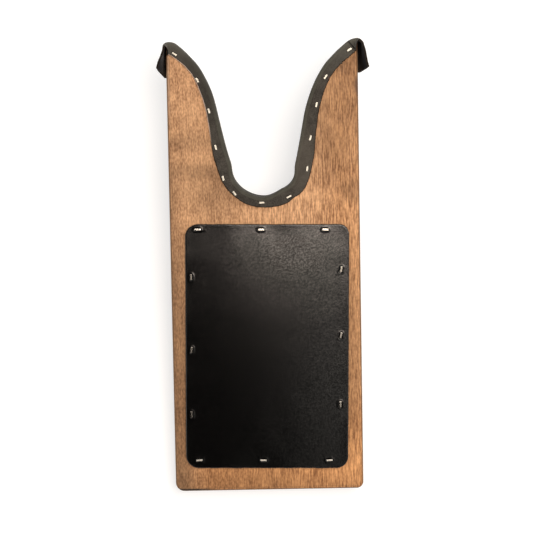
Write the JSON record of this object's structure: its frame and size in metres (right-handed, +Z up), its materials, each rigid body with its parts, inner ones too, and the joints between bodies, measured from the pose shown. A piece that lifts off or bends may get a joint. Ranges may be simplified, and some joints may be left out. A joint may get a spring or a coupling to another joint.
{
  "type": "boot jack",
  "caption": "Low sloping wooden board with a leather-lined heel notch at its raised end and a stapled leather tread pad, stood on a hidden cleat, for pulling off boots.",
  "frame": {"origin": "centre of the bounding box on the floor, under the middle of the jack", "axes": "+X across the board, +Y along the floor from the heel end to the notch, +Z up"},
  "size_m": [0.1549, 0.3348, 0.0668],
  "materials": {
    "stained_plywood": "brown stain with a thin satin lacquer",
    "cleat_wood": "brown stain, sawn and sanded",
    "screw_steel": "yellow zinc",
    "pad_leather": "smooth black grain leather",
    "suede_leather": "rough flesh side, dark grey",
    "staple_steel": "bright galvanised wire"
  },
  "bodies": {
    "root": {"board": "stained_plywood", "cleat": "cleat_wood", "cleat_screws": "screw_steel", "tread_pad": "pad_leather", "notch_lining": "suede_leather", "pad_staples": "staple_steel", "lining_top_staples": "staple_steel", "lining_under_staples": "staple_steel"}
  },
  "joints": []
}
